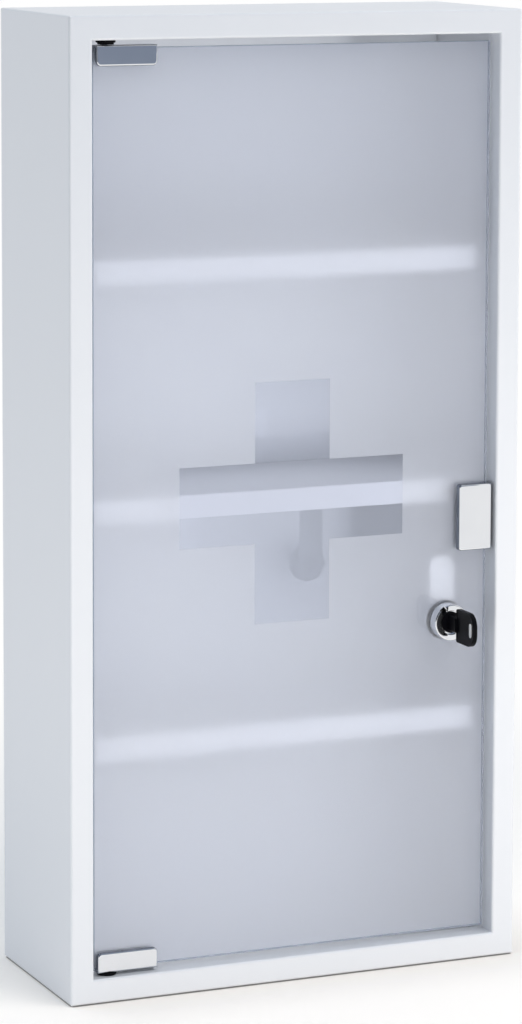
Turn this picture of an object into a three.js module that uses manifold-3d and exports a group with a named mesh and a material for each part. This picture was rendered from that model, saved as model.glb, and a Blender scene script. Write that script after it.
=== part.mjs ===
// Wall cabinet for medicines: a folded steel carcass with welded shelves, and a glass door that hangs on
// two clamp hinges, with a clip handle and a cam lock with its key.
// Millimetres, +Z up. The front faces -Y, and the origin is the middle of the base.

import * as THREE from 'three';
import { mergeVertices } from 'three/addons/utils/BufferGeometryUtils.js';
import Module from 'manifold-3d';

const wasm = await Module();
wasm.setup();

// Carcass of folded sheet
const WIDTH = 300;
const DEPTH = 120;
const HEIGHT = 600;
const SHEET = 1;
const BEND = 0.5; // inside radius of a fold
const FRAME = 15; // face of the front frame round the opening
const RETURN_LAND = 0.5; // return left behind the bush flange
const REAR_FLANGE = 14;

// Keyholes in the back panel, for two wall screws
const KEYHOLE_SPACING = 200;
const KEYHOLE_DROP = 45; // top of the cabinet to the middle of the entry
const KEYHOLE_ENTRY = 9; // diameter for the screw head
const KEYHOLE_SLOT = 4.6; // width for the screw shank
const KEYHOLE_RISE = 9; // middle of the entry to the middle of the slot's end

// Shelves
const LOWEST_SHELF = 160;
const SHELF_SPACING = 146;
const SHELF_LIP = 14.5;
const SHELF_FLANGE = 10;
const SHELF_CLEAR = 0.4; // shelf to what stands or swings in front of it
const LIP_INSET = 7; // end of the lip to the side of the opening
const LIP_NOTCH = 4; // depth of the notch beside the lip

// Glass door
const GLASS = 4;
const GLASS_RECESS = 8; // front of the frame to the front of the glass
const GLASS_ARRIS = 0.4;
const SEAT = 0.1; // gap between two pieces that bear on each other
const PAD = 0.6; // plastic liner between metal and glass
const PAD_INSET = 1.4; // edge of the metal to the edge of its liner

// Clamp hinges, pivot pins and bushes
const PIVOT_INSET = 12; // side of the opening to the pivot
const HINGE_LENGTH = 39.2;
const HINGE_TAIL = 7.6; // pivot to the end of the clamp
const HINGE_HEIGHT = 12.4;
const HINGE_PLATE = 2.2;
const HINGE_REAR = 3;
const HINGE_WEB = 1.5;
const HINGE_CORNER = 3;
const HINGE_EDGE = 0.8;
const HINGE_LIFT = 1.5; // play above the door, for hanging it
const HINGE_REST = 0.2; // play under the door
const HINGE_SCREWS = [10, 23]; // pivot to each grub screw
const PIN_DIAMETER = 5;
const PIN_CLEARANCE = 0.08; // between pin and bore, on the radius
const BUSH_FLANGE = 12;
const BUSH_FLANGE_THICKNESS = 1.6;
const BUSH_SHANK = 8.4;
const BUSH_STUB = 2.5; // shank beyond the sheet
const GRUB_SCREW = 4;
const GRUB_CLEARANCE = 0.15;
const GRUB_SOCKET = 2; // across the flats
const GRUB_SOCKET_DEPTH = 1.2;
const GRUB_PROUD = 0.2;

// Clip handle and its magnet
const HANDLE_WIDTH = 22.8;
const HANDLE_HEIGHT = 41.8;
const HANDLE_PLATE = 4;
const HANDLE_WALL = 1.6;
const HANDLE_CORNER = 1.8;
const HANDLE_EDGE = 0.5;
const HANDLE_CLEAR = 1.3; // handle to the return
const HANDLE_DROP = 2.8; // top of the middle shelf to the top of the handle
const CATCH_GAP = 0.3;
const MAGNET_WIDTH = 14;
const MAGNET_HEIGHT = 8;
const MAGNET_CORNER = 1;
const MAGNET_INSET = 2; // edges of the lip to the magnet

// Cam lock
const LOCK_INSET = 45; // right side of the cabinet to the lock's axis
const LOCK_DROP = 44.4; // bottom of the handle to the lock's axis
const BEZEL = 23;
const BEZEL_PROUD = 8; // front of the glass to the front of the bezel
const BEZEL_CHAMFER = 1;
const BEZEL_RECESS = 15;
const BEZEL_RECESS_DEPTH = 2.2;
const SPANNER_SLOT = 4;
const SPANNER_SLOT_DEPTH = 1.2;
const SPANNER_SLOT_TURN = 125; // degrees from level
const BARREL = 18;
const BARREL_CLEARANCE = 0.5; // between barrel and glass, on the radius
const BARREL_STUB = 0.5; // barrel behind the nut
const GASKET = 0.6;
const WASHER = 0.8;
const WASHER_DIAMETER = 25;
const NUT = 2.4;
const NUT_FLATS = 22;
const THREAD_CLEARANCE = 0.15;
const PLUG = 12;
const PLUG_CLEARANCE = 0.1;
const CAP = 13.4;
const CAP_THICKNESS = 1.5;
const TAIL_SQUARE = 7;
const TAIL_CLEARANCE = 0.15;
const CAM = 2;
const CAM_WIDTH = 16.5;
const CAM_CORNER = 6;
const CAM_CLEAR = 0.6; // cam to the end of the return
const CAM_TIP_CLEAR = 4; // tip of the turned cam to the side wall
const CAM_WASHER = 0.8;
const CAM_WASHER_DIAMETER = 10;
const CAM_SCREW = 4;
const CAM_SCREW_HEAD = 7;
const CAM_SCREW_HEAD_HEIGHT = 2.2;
const CAM_SCREW_LENGTH = 5; // shank inside the plug's tail
const CAM_SCREW_SLOT = 1;

// Key
const BLADE = 2;
const BLADE_HEIGHT = 8;
const BLADE_DEPTH = 12; // front of the cap to the tip
const BLADE_POINT = 2; // chamfers of the tip
const BLADE_CUTS = [1.4, 0.7, 1.8]; // depth of each cut, from the tip
const BLADE_CUT_START = 4; // tip to the first cut
const BLADE_CUT_PITCH = 2.6;
const BLADE_CUT_WIDTH = 2;
const KEYWAY_CLEARANCE = 0.2;
const KEYWAY_END = 0.6; // tip of the blade to the end of the keyway
const BOW_DEPTH = 6; // blade held inside the head
const NECK_WIDTH = 6;
const NECK_HEIGHT = 9.6;
const NECK_CORNER = 1.5;
const NECK_LENGTH = 8.6; // front of the bezel to the head
const NECK_GAP = 0.3;
const HEAD_LENGTH = 23.8;
const HEAD_HEIGHT = 21;
const HEAD_THICKNESS = 3.2;
const HEAD_CORNER = 8;
const HEAD_HEEL = 1.5;
const HEAD_EYE_WIDTH = 3.4;
const HEAD_EYE_HEIGHT = 9;
const HEAD_EYE_INSET = 4.5; // end of the head to the middle of the eye

// Facets
const ARC_STEPS = 3; // half the facets of a corner's arc
const CIRCLE_STEPS = 12; // half the facets of a drawn circle
const ROUND_STEPS = 48; // facets of a turned body
const SMALL_ROUND_STEPS = 24;
const MERGE_DISTANCE = 0.001;
const OVERCUT = 1; // how far a cut runs past the face that it opens

// Places that follow from the sizes above. A depth is measured back from the front of the frame
const frontY = -DEPTH / 2;
const foldOutside = BEND + SHEET;
const openingHalf = WIDTH / 2 - FRAME;
const openingBottom = FRAME;
const openingTop = HEIGHT - FRAME;

const glassBack = GLASS_RECESS + GLASS;
const pivotDepth = GLASS_RECESS + GLASS / 2;
const pivotX = PIVOT_INSET - openingHalf;
const returnDepth = pivotDepth + BUSH_FLANGE / 2 + RETURN_LAND;
const bushStack = SEAT + BUSH_FLANGE_THICKNESS;
const webStack = SEAT + HINGE_WEB;
const glassBottom = openingBottom + bushStack + HINGE_REST + webStack;
const glassTop = openingTop - bushStack - HINGE_LIFT - webStack;
const glassHalf = openingHalf - HANDLE_CLEAR - HANDLE_WALL - SEAT;
const padStack = GLASS / 2 + PAD + 2 * SEAT; // middle of the glass to the metal

const panelBack = DEPTH - SHEET - SEAT;
const panelFront = panelBack - SHEET;
const wallHalf = WIDTH / 2 - SHEET;
const shelfHalf = wallHalf - SEAT;
const lipHalf = openingHalf - LIP_INSET;
const handleBack = pivotDepth + padStack + HANDLE_WALL;
const magnetFront = handleBack + CATCH_GAP;
const tailSwing = Math.hypot(glassHalf + pivotX, GLASS / 2); // edge of the glass beside the pivot
const shelfDepth = Math.max(returnDepth, pivotDepth + tailSwing) + SHELF_CLEAR;
const shelfTops = [0, 1, 2].map((step) => LOWEST_SHELF + step * SHELF_SPACING);

const handleTop = shelfTops[1] - HANDLE_DROP;
const handleZ = handleTop - HANDLE_HEIGHT / 2;
const lockX = WIDTH / 2 - LOCK_INSET;
const lockZ = handleTop - HANDLE_HEIGHT - LOCK_DROP;
const bezelFront = GLASS_RECESS - BEZEL_PROUD;
const bezelBack = GLASS_RECESS - GASKET - 2 * SEAT;
const recessFloor = bezelFront + BEZEL_RECESS_DEPTH;
const capFront = recessFloor - SEAT - CAP_THICKNESS;
const nutFront = glassBack + SEAT + WASHER + SEAT;
const barrelEnd = nutFront + NUT + BARREL_STUB;
const camFront = Math.max(returnDepth + CAM_CLEAR, barrelEnd + 2 * SEAT);
const camBack = camFront + CAM;
const camReach = wallHalf - CAM_TIP_CLEAR - lockX;
const tailEnd = camBack + SEAT;
const bladeTip = capFront + BLADE_DEPTH;
const neckEnd = capFront - NECK_GAP;
const headStart = bezelFront - NECK_LENGTH;

// Finishes
function finish(color, roughness, metalness) {
  return new THREE.MeshStandardMaterial({ color, roughness, metalness });
}
const powderCoat = () => finish(0xe9ebee, 0.45, 0);
const chrome = () => finish(0xd5d8dc, 0.08, 1);
const zincPlate = () => finish(0xb9bcc0, 0.3, 1);
const blackPlastic = () => finish(0x101114, 0.35, 0);
const clearPlastic = () => finish(0xdfe3e6, 0.3, 0);
const magnetGrey = () => finish(0x55585c, 0.5, 0.4);
const frostedGlass = () => {
  const material = finish(0xcfd8e2, 0.35, 0);
  material.transparent = true;
  material.opacity = 0.5;
  return material;
};

// Closed solids from three.js shapes

function solid(geometry) {
  geometry.deleteAttribute('normal');
  geometry.deleteAttribute('uv');
  const merged = mergeVertices(geometry, MERGE_DISTANCE);
  const corners = merged.index.array;
  const kept = [];
  for (let i = 0; i < corners.length; i += 3) {
    const [a, b, c] = corners.slice(i, i + 3);
    if (a !== b && b !== c && c !== a) kept.push(a, b, c);
  }
  return new wasm.Manifold(new wasm.Mesh({
    numProp: 3,
    vertProperties: merged.attributes.position.array,
    triVerts: new Uint32Array(kept),
  }));
}

// A closed outline through corners [x, y, radius], listed anticlockwise, with an arc at each round corner
function outline(corners) {
  const path = new THREE.Shape();
  corners.forEach(([x, y, radius = 0], index) => {
    const corner = new THREE.Vector2(x, y);
    const before = new THREE.Vector2(...corners.at(index - 1));
    const after = new THREE.Vector2(...corners[(index + 1) % corners.length]);
    const arriving = corner.clone().sub(before).normalize();
    const leaving = after.sub(corner).normalize();
    const turn = Math.atan2(arriving.cross(leaving), arriving.dot(leaving));
    const setback = radius * Math.tan(Math.abs(turn) / 2);
    const start = corner.clone().addScaledVector(arriving, -setback);
    if (index === 0) path.moveTo(start.x, start.y);
    else path.lineTo(start.x, start.y);
    if (radius > 0) {
      const side = Math.sign(turn) * radius;
      const centre = new THREE.Vector2(start.x - side * arriving.y, start.y + side * arriving.x);
      const from = Math.atan2(start.y - centre.y, start.x - centre.x);
      path.absarc(centre.x, centre.y, radius, from, from + turn, turn < 0);
    }
  });
  path.closePath();
  return path;
}

const rectangle = (left, bottom, right, top, radius = 0) => outline([
  [left, bottom, radius],
  [right, bottom, radius],
  [right, top, radius],
  [left, top, radius],
]);

function hexagon(flats) {
  const corner = new THREE.Vector2(flats / Math.sqrt(3), 0);
  const middle = new THREE.Vector2();
  return outline([0, 1, 2, 3, 4, 5].map((sixth) => (
    corner.clone().rotateAround(middle, sixth * Math.PI / 3).toArray()
  )));
}

function circlePath(x, y, diameter) {
  const path = new THREE.Path();
  path.absarc(x, y, diameter / 2, 0, 2 * Math.PI);
  return path;
}

// The sheet directions of a section and the way it is extruded, for each axis
const PLANES = {
  x: { across: [0, 1, 0], up: [0, 0, 1], along: [1, 0, 0] },
  y: { across: [1, 0, 0], up: [0, 0, 1], along: [0, -1, 0] },
  z: { across: [1, 0, 0], up: [0, 1, 0], along: [0, 0, 1] },
};

// A section drawn square to an axis and extruded between two places on it
function prism(axis, section, from, to, { chamfer = 0, steps = ARC_STEPS } = {}) {
  const geometry = new THREE.ExtrudeGeometry(section, {
    depth: to - from - 2 * chamfer,
    curveSegments: steps,
    bevelEnabled: chamfer > 0,
    bevelThickness: chamfer,
    bevelSize: chamfer,
    bevelOffset: -chamfer,
    bevelSegments: 1,
  });
  const { across, up, along } = PLANES[axis];
  const basis = [across, up, along].map((direction) => new THREE.Vector3(...direction));
  const start = axis === 'y' ? -to : from;
  geometry.translate(0, 0, chamfer + start);
  geometry.applyMatrix4(new THREE.Matrix4().makeBasis(...basis));
  return solid(geometry);
}

// A body turned about an axis from [radius, place on the axis] points, listed anticlockwise
function turned(axis, profile, { centre = [0, 0, 0], steps = ROUND_STEPS } = {}) {
  const closed = profile[0][0] === 0 ? profile : [...profile, profile[0]];
  const points = closed.map(([radius, place]) => new THREE.Vector2(radius, place));
  const geometry = new THREE.LatheGeometry(points, steps);
  if (axis === 'z') geometry.rotateX(Math.PI / 2);
  geometry.translate(...centre);
  return solid(geometry);
}

function rod(axis, diameter, from, to, options) {
  const radius = diameter / 2;
  return turned(axis, [[0, from], [radius, from], [radius, to], [0, to]], options);
}

function tube(axis, outer, inner, from, to, options) {
  const profile = [[inner / 2, from], [outer / 2, from], [outer / 2, to], [inner / 2, to]];
  return turned(axis, profile, options);
}

// A block between two opposite corners
function block(corner, opposite) {
  const places = [corner, opposite].map((place) => new THREE.Vector3(...place));
  const box = new THREE.Box3().setFromPoints(places);
  const geometry = new THREE.BoxGeometry(...box.getSize(new THREE.Vector3()).toArray());
  geometry.translate(...box.getCenter(new THREE.Vector3()).toArray());
  return solid(geometry);
}

function piece(name, material, body, position = [0, 0, 0], upsideDown = false) {
  const { vertProperties, triVerts } = body.getMesh();
  const geometry = new THREE.BufferGeometry();
  geometry.setAttribute('position', new THREE.BufferAttribute(vertProperties, 3));
  geometry.setIndex(new THREE.BufferAttribute(triVerts, 1));
  if (upsideDown) {
    geometry.scale(1, 1, -1);
    for (let i = 0; i < triVerts.length; i += 3) {
      [triVerts[i], triVerts[i + 1]] = [triVerts[i + 1], triVerts[i]];
    }
  }
  geometry.computeVertexNormals();
  const mesh = new THREE.Mesh(geometry, material);
  mesh.name = name;
  mesh.position.set(...position);
  return mesh;
}

// Carcass

// Sweeps a section of [inset, depth] points round the rectangle of the carcass, mitred at its corners
function mitredFrame(section) {
  const points = section.getPoints(ARC_STEPS).slice(0, -1);
  const count = points.length;
  const places = [];
  const faces = [];
  [[-1, -1], [1, -1], [1, 1], [-1, 1]].forEach(([side, end], corner) => {
    points.forEach(({ x: inset, y: depth }, index) => {
      places.push(side * (WIDTH / 2 - inset), frontY + depth, HEIGHT / 2 + end * (HEIGHT / 2 - inset));
      const here = corner * count;
      const next = ((corner + 1) % 4) * count;
      const after = (index + 1) % count;
      faces.push(here + index, here + after, next + after, here + index, next + after, next + index);
    });
  });
  const geometry = new THREE.BufferGeometry();
  geometry.setAttribute('position', new THREE.Float32BufferAttribute(places, 3));
  geometry.setIndex(faces);
  return solid(geometry);
}

function cabinetShell() {
  const section = outline([
    [FRAME, returnDepth],
    [FRAME, 0, foldOutside],
    [0, 0, foldOutside],
    [0, DEPTH, foldOutside],
    [REAR_FLANGE, DEPTH],
    [REAR_FLANGE, DEPTH - SHEET],
    [SHEET, DEPTH - SHEET, BEND],
    [SHEET, SHEET, BEND],
    [FRAME - SHEET, SHEET, BEND],
    [FRAME - SHEET, returnDepth],
  ]);
  const face = rectangle(-WIDTH / 2, 0, WIDTH / 2, HEIGHT, foldOutside);
  const envelope = prism('y', face, frontY, frontY + DEPTH);
  const centre = [pivotX, frontY + pivotDepth, 0];
  const hole = BUSH_SHANK + 2 * SEAT;
  const lowerHole = rod('z', hole, openingBottom - SHEET - OVERCUT, openingBottom + OVERCUT, { centre });
  const upperHole = rod('z', hole, openingTop - OVERCUT, openingTop + SHEET + OVERCUT, { centre });
  return mitredFrame(section).intersect(envelope).subtract(lowerHole).subtract(upperHole);
}

function backPanel() {
  const edge = SHEET + BEND + SEAT;
  const half = WIDTH / 2 - edge;
  const sheet = rectangle(-half, edge, half, HEIGHT - edge);
  const entryZ = HEIGHT - KEYHOLE_DROP;
  const slotHalf = KEYHOLE_SLOT / 2;
  const entryTop = Math.asin(KEYHOLE_SLOT / KEYHOLE_ENTRY);
  for (const side of [-1, 1]) {
    const x = side * KEYHOLE_SPACING / 2;
    const keyhole = new THREE.Path();
    keyhole.absarc(x, entryZ, KEYHOLE_ENTRY / 2, Math.PI / 2 + entryTop, Math.PI * 5 / 2 - entryTop);
    keyhole.absarc(x, entryZ + KEYHOLE_RISE, slotHalf, 0, Math.PI);
    keyhole.closePath();
    sheet.holes.push(keyhole);
  }
  return prism('y', sheet, frontY + panelFront, frontY + panelBack, { steps: CIRCLE_STEPS });
}

function shelf(top) {
  const front = frontY + shelfDepth;
  const rear = frontY + panelFront - SEAT;
  const section = outline([
    [front, top - SHELF_LIP],
    [front + SHEET, top - SHELF_LIP],
    [front + SHEET, top - SHEET, BEND],
    [rear - SHEET, top - SHEET, BEND],
    [rear - SHEET, top - SHELF_FLANGE],
    [rear, top - SHELF_FLANGE],
    [rear, top, foldOutside],
    [front, top, foldOutside],
  ]);
  let tray = prism('x', section, -shelfHalf, shelfHalf);
  for (const side of [-1, 1]) {
    const flange = block(
      [side * shelfHalf, front + LIP_NOTCH, top - SHELF_FLANGE],
      [side * (shelfHalf - SHEET), rear, top - SHEET / 2],
    );
    const notch = block(
      [side * lipHalf, front - OVERCUT, top - SHELF_LIP - OVERCUT],
      [side * (shelfHalf + OVERCUT), front + LIP_NOTCH, top + OVERCUT],
    );
    tray = tray.add(flange).subtract(notch);
  }
  return tray;
}

// Turned about its own axis, with the flange under the return at height 0 and the shank above it
function pivotBush() {
  const bore = PIN_DIAMETER / 2 + PIN_CLEARANCE;
  const shankTop = SHEET + BUSH_STUB;
  return turned('z', [
    [bore, -bushStack],
    [BUSH_FLANGE / 2, -bushStack],
    [BUSH_FLANGE / 2, -SEAT],
    [BUSH_SHANK / 2, -SEAT],
    [BUSH_SHANK / 2, shankTop],
    [bore, shankTop],
  ]);
}

function catchMagnet() {
  const right = lipHalf - MAGNET_INSET;
  const bottom = shelfTops[1] - SHELF_LIP + MAGNET_INSET;
  const face = rectangle(right - MAGNET_WIDTH, bottom, right, bottom + MAGNET_HEIGHT, MAGNET_CORNER);
  return prism('y', face, frontY + magnetFront, frontY + shelfDepth - SEAT);
}

// Door

function glassPane() {
  const sheet = rectangle(-glassHalf, glassBottom, glassHalf, glassTop);
  sheet.holes.push(circlePath(lockX, lockZ, BARREL + 2 * BARREL_CLEARANCE));
  const edges = { chamfer: GLASS_ARRIS, steps: CIRCLE_STEPS };
  return prism('y', sheet, frontY + GLASS_RECESS, frontY + glassBack, edges);
}

// Hinge pieces are drawn from the pivot, the middle of the glass and its edge, with the frame above them
const hingeTop = webStack;
const hingeBottom = webStack - HINGE_HEIGHT;
const hingeLeft = -HINGE_TAIL;
const hingeRight = HINGE_LENGTH - HINGE_TAIL;
const hingeScrewZ = hingeBottom / 2;

function hingeClamp() {
  const section = outline([
    [-padStack - HINGE_PLATE, hingeBottom, HINGE_EDGE],
    [-padStack, hingeBottom],
    [-padStack, SEAT],
    [padStack, SEAT],
    [padStack, hingeBottom],
    [padStack + HINGE_REAR, hingeBottom, HINGE_EDGE],
    [padStack + HINGE_REAR, hingeTop, HINGE_EDGE],
    [-padStack - HINGE_PLATE, hingeTop, HINGE_EDGE],
  ]);
  const face = outline([
    [hingeLeft, hingeBottom, HINGE_CORNER],
    [hingeRight, hingeBottom, HINGE_CORNER],
    [hingeRight, hingeTop, HINGE_EDGE],
    [hingeLeft, hingeTop, HINGE_EDGE],
  ]);
  const reach = padStack + HINGE_PLATE + HINGE_REAR;
  const pinHole = rod('z', PIN_DIAMETER + 2 * SEAT, 0, 2 * hingeTop);
  let clamp = prism('x', section, hingeLeft, hingeRight).intersect(prism('y', face, -reach, reach));
  clamp = clamp.subtract(pinHole);
  for (const x of HINGE_SCREWS) {
    clamp = clamp.subtract(grubHole(reach, [x, 0, hingeScrewZ]));
  }
  return clamp;
}

function pivotPin(play) {
  const tip = webStack + play + bushStack + SHEET + BUSH_STUB;
  return rod('z', PIN_DIAMETER, SEAT, tip);
}

function hingePad(side) {
  const face = rectangle(
    hingeLeft + PAD_INSET,
    hingeBottom + PAD_INSET,
    hingeRight - PAD_INSET,
    -PAD_INSET,
    HINGE_CORNER - PAD_INSET,
  );
  return liner(face, side);
}

// A liner lies against the front of the glass, side -1, or its back, side 1
function liner(face, side) {
  const near = GLASS / 2 + SEAT;
  const far = near + PAD;
  return side < 0 ? prism('y', face, -far, -near) : prism('y', face, near, far);
}

function grubHole(reach, centre) {
  const diameter = GRUB_SCREW + 2 * GRUB_CLEARANCE;
  return rod('y', diameter, GLASS / 2, reach, { centre, steps: SMALL_ROUND_STEPS });
}

// A grub screw stands in a leg of the given thickness, with its tip on the rear liner
function grubScrew(leg) {
  const end = padStack + leg + GRUB_PROUD;
  const socket = prism('y', hexagon(GRUB_SOCKET), end - GRUB_SOCKET_DEPTH, end + OVERCUT);
  return rod('y', GRUB_SCREW, padStack, end, { steps: SMALL_ROUND_STEPS }).subtract(socket);
}

// Handle pieces are drawn from the edge of the glass, its middle and half the handle's height
const handleRight = SEAT + HANDLE_WALL;
const handleLeft = handleRight - HANDLE_WIDTH;
const handleHalf = HANDLE_HEIGHT / 2;

function handleClip() {
  const section = outline([
    [handleLeft, -padStack - HANDLE_PLATE, HANDLE_EDGE],
    [handleRight, -padStack - HANDLE_PLATE, HANDLE_EDGE],
    [handleRight, padStack + HANDLE_WALL, HANDLE_EDGE],
    [handleLeft, padStack + HANDLE_WALL, HANDLE_EDGE],
    [handleLeft, padStack],
    [SEAT, padStack],
    [SEAT, -padStack],
    [handleLeft, -padStack],
  ]);
  const face = outline([
    [handleLeft, -handleHalf, HANDLE_CORNER],
    [handleRight, -handleHalf, HANDLE_EDGE],
    [handleRight, handleHalf, HANDLE_EDGE],
    [handleLeft, handleHalf, HANDLE_CORNER],
  ]);
  const reach = padStack + HANDLE_PLATE + HANDLE_WALL;
  const clip = prism('z', section, -handleHalf, handleHalf).intersect(prism('y', face, -reach, reach));
  return clip.subtract(grubHole(reach, [handleLeft / 2, 0, 0]));
}

function handlePad(side) {
  const face = rectangle(
    handleLeft + PAD_INSET,
    -handleHalf + PAD_INSET,
    -PAD_INSET,
    handleHalf - PAD_INSET,
    HANDLE_CORNER,
  );
  return liner(face, side);
}

// Lock and key pieces are drawn about the lock's axis, with depths from the front of the frame

function lockBody() {
  const bore = PLUG / 2 + PLUG_CLEARANCE;
  const body = turned('y', [
    [BEZEL_RECESS / 2, bezelFront],
    [BEZEL / 2 - BEZEL_CHAMFER, bezelFront],
    [BEZEL / 2, bezelFront + BEZEL_CHAMFER],
    [BEZEL / 2, bezelBack],
    [BARREL / 2, bezelBack],
    [BARREL / 2, barrelEnd],
    [bore, barrelEnd],
    [bore, recessFloor],
    [BEZEL_RECESS / 2, recessFloor],
  ]);
  const turn = THREE.MathUtils.degToRad(SPANNER_SLOT_TURN);
  const [along, aside] = [BEZEL, SPANNER_SLOT / 2];
  const corners = [[-along, -aside], [along, -aside], [along, aside], [-along, aside]];
  const middle = new THREE.Vector2();
  const slot = outline(corners.map((corner) => (
    new THREE.Vector2(...corner).rotateAround(middle, turn).toArray()
  )));
  return body.subtract(prism('y', slot, bezelFront - OVERCUT, bezelFront + SPANNER_SLOT_DEPTH));
}

function lockGasket() {
  return tube('y', BEZEL, BARREL + 2 * THREAD_CLEARANCE, bezelBack + SEAT, GLASS_RECESS - SEAT);
}

function lockWasher() {
  const front = glassBack + SEAT;
  return tube('y', WASHER_DIAMETER, BARREL + 2 * THREAD_CLEARANCE, front, front + WASHER);
}

function lockNut() {
  const face = hexagon(NUT_FLATS);
  face.holes.push(circlePath(0, 0, BARREL + 2 * THREAD_CLEARANCE));
  return prism('y', face, nutFront, nutFront + NUT, { steps: CIRCLE_STEPS });
}

// The keyway lies upright at rest, and runs from in front of the cap to just past the blade's tip
function keyway() {
  const half = BLADE / 2 + KEYWAY_CLEARANCE;
  const tall = BLADE_HEIGHT / 2 + KEYWAY_CLEARANCE;
  return block([-half, capFront - OVERCUT, -tall], [half, bladeTip + KEYWAY_END, tall]);
}

function plugCap() {
  return rod('y', CAP, capFront, recessFloor - SEAT).subtract(keyway());
}

function lockPlug() {
  const half = TAIL_SQUARE / 2;
  const shoulder = camFront - SEAT;
  const tail = prism('y', rectangle(-half, -half, half, half), shoulder - OVERCUT, tailEnd);
  const screwHole = rod('y', CAM_SCREW + 2 * SEAT, tailEnd - CAM_SCREW_LENGTH - SEAT, tailEnd + OVERCUT, {
    steps: SMALL_ROUND_STEPS,
  });
  return rod('y', PLUG, recessFloor, shoulder).add(tail).subtract(keyway()).subtract(screwHole);
}

// The cam points up while the door is unlocked
function lockCam() {
  const half = CAM_WIDTH / 2;
  const plate = outline([
    [-half, -half, CAM_CORNER],
    [half, -half, CAM_CORNER],
    [half, camReach, CAM_CORNER],
    [-half, camReach, CAM_CORNER],
  ]);
  const square = TAIL_SQUARE / 2 + TAIL_CLEARANCE;
  plate.holes.push(rectangle(-square, -square, square, square));
  return prism('y', plate, camFront, camBack);
}

function camWasher() {
  const front = tailEnd + SEAT;
  const hole = CAM_SCREW + 2 * SEAT;
  return tube('y', CAM_WASHER_DIAMETER, hole, front, front + CAM_WASHER, { steps: SMALL_ROUND_STEPS });
}

function camScrew() {
  const under = tailEnd + SEAT + CAM_WASHER + SEAT;
  const end = under + CAM_SCREW_HEAD_HEIGHT;
  const [shank, head] = [CAM_SCREW / 2, CAM_SCREW_HEAD / 2];
  const screw = turned('y', [
    [0, tailEnd - CAM_SCREW_LENGTH],
    [shank, tailEnd - CAM_SCREW_LENGTH],
    [shank, under],
    [head, under],
    [head, end],
    [0, end],
  ], { steps: SMALL_ROUND_STEPS });
  const half = CAM_SCREW_SLOT / 2;
  return screw.subtract(block([-CAM_SCREW_HEAD, end - half, -half], [CAM_SCREW_HEAD, end + half, half]));
}

function keyBlade() {
  const half = BLADE_HEIGHT / 2;
  const slope = BLADE_CUT_WIDTH / 2;
  const cuts = BLADE_CUTS.flatMap((cut, index) => {
    const place = bladeTip - BLADE_CUT_START - index * BLADE_CUT_PITCH;
    return [[place + slope, half], [place, half - cut], [place - slope, half]];
  });
  const profile = outline([
    [neckEnd - BOW_DEPTH, -half],
    [bladeTip - BLADE_POINT, -half],
    [bladeTip, BLADE_POINT - half],
    [bladeTip, half - BLADE_POINT],
    [bladeTip - BLADE_POINT, half],
    ...cuts,
    [neckEnd - BOW_DEPTH, half],
  ]);
  return prism('x', profile, -BLADE / 2, BLADE / 2);
}

function keyHead() {
  const headEnd = headStart - HEAD_LENGTH;
  const half = HEAD_HEIGHT / 2;
  const paddle = outline([
    [headEnd, -half, HEAD_CORNER],
    [headStart, -half, HEAD_HEEL],
    [headStart, half, HEAD_HEEL],
    [headEnd, half, HEAD_CORNER],
  ]);
  const eye = headEnd + HEAD_EYE_INSET;
  const [eyeHalf, eyeTall] = [HEAD_EYE_WIDTH / 2, HEAD_EYE_HEIGHT / 2];
  paddle.holes.push(rectangle(eye - eyeHalf, -eyeTall, eye + eyeHalf, eyeTall, eyeHalf));
  const [neckHalf, neckTall] = [NECK_WIDTH / 2, NECK_HEIGHT / 2];
  const neck = rectangle(-neckHalf, -neckTall, neckHalf, neckTall, NECK_CORNER);
  const pocket = block(
    [-BLADE / 2 - SEAT, neckEnd - BOW_DEPTH - SEAT, -BLADE_HEIGHT / 2 - SEAT],
    [BLADE / 2 + SEAT, neckEnd + OVERCUT, BLADE_HEIGHT / 2 + SEAT],
  );
  const head = prism('x', paddle, -HEAD_THICKNESS / 2, HEAD_THICKNESS / 2);
  return head.add(prism('y', neck, headStart - HEAD_HEEL, neckEnd)).subtract(pocket);
}

// Assembly

function cabinet() {
  const group = new THREE.Group();
  const pivotY = frontY + pivotDepth;
  group.add(
    piece('cabinet_shell', powderCoat(), cabinetShell()),
    piece('back_panel', powderCoat(), backPanel()),
    piece('upper_pivot_bush', blackPlastic(), pivotBush(), [pivotX, pivotY, openingTop]),
    piece('lower_pivot_bush', blackPlastic(), pivotBush(), [pivotX, pivotY, openingBottom], true),
    piece('catch_magnet', magnetGrey(), catchMagnet()),
  );
  ['lower_shelf', 'middle_shelf', 'upper_shelf'].forEach((name, index) => {
    group.add(piece(name, powderCoat(), shelf(shelfTops[index])));
  });
  return group;
}

function hinge(end, edge, play, upsideDown) {
  const group = new THREE.Group();
  group.position.set(pivotX, frontY + pivotDepth, edge);
  const add = (name, material, body, position = [0, 0, 0]) => {
    group.add(piece(`${end}_${name}`, material, body, position, upsideDown));
  };
  add('hinge_clamp', chrome(), hingeClamp());
  add('pivot_pin', zincPlate(), pivotPin(play));
  add('hinge_front_pad', clearPlastic(), hingePad(-1));
  add('hinge_rear_pad', clearPlastic(), hingePad(1));
  const screwZ = upsideDown ? -hingeScrewZ : hingeScrewZ;
  add('hinge_inner_screw', zincPlate(), grubScrew(HINGE_REAR), [HINGE_SCREWS[0], 0, screwZ]);
  add('hinge_outer_screw', zincPlate(), grubScrew(HINGE_REAR), [HINGE_SCREWS[1], 0, screwZ]);
  return group;
}

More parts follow.
